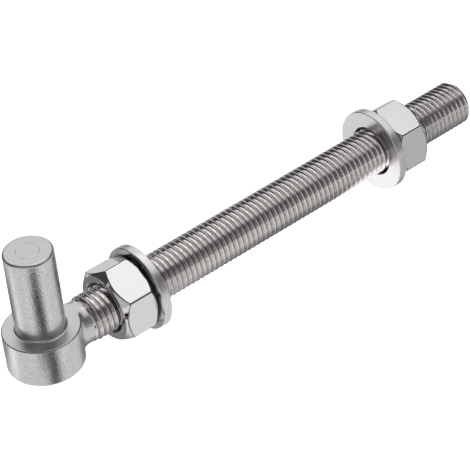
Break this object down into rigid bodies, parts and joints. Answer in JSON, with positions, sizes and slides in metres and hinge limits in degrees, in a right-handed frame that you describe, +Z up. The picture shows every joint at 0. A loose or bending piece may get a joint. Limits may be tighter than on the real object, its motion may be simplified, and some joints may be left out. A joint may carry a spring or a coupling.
{
  "type": "j-bolt gate hinge",
  "caption": "Upright round hinge pin on a boss at the end of a long threaded rod, with hexagon nuts and plain washers that clamp it through a gate post.",
  "frame": {"origin": "on the hinge pin's axis at the boss's upper face, where the gate's eye rests", "axes": "+Z up along the hinge pin, +X along the threaded rod from the boss to its free end"},
  "size_m": [0.1935, 0.0292, 0.0516],
  "materials": {
    "satin_steel": "satin, tumbled stainless steel",
    "polished_steel": "polished stainless steel"
  },
  "bodies": {
    "j_bolt": {"j_bolt": "satin_steel"},
    "near_washer": {"near_washer": "polished_steel"},
    "near_nut": {"near_nut": "polished_steel"},
    "far_washer": {"far_washer": "polished_steel"},
    "far_nut": {"far_nut": "polished_steel"}
  },
  "joints": [
    {"name": "near_washer_slide", "type": "slide", "parent": "j_bolt", "child": "near_washer", "axis": [1, 0, 0], "range_m": [-0.005, 0.045]},
    {"name": "near_nut_spin", "type": "hinge", "parent": "near_washer", "child": "near_nut", "pos_m": [0.0305, 0, -0.007], "axis": [1, 0, 0], "range_deg": [-900, 8100]},
    {"name": "far_washer_slide", "type": "slide", "parent": "j_bolt", "child": "far_washer", "axis": [1, 0, 0], "range_m": [-0.045, 0.024]},
    {"name": "far_nut_spin", "type": "hinge", "parent": "far_washer", "child": "far_nut", "pos_m": [0.1495, 0, -0.007], "axis": [1, 0, 0], "range_deg": [-8100, 4320]}
  ],
  "couplings": [
    {"joint": "near_washer_slide", "follows": "near_nut_spin", "m_per_rad": 0.00031831},
    {"joint": "far_washer_slide", "follows": "far_nut_spin", "m_per_rad": 0.00031831}
  ]
}
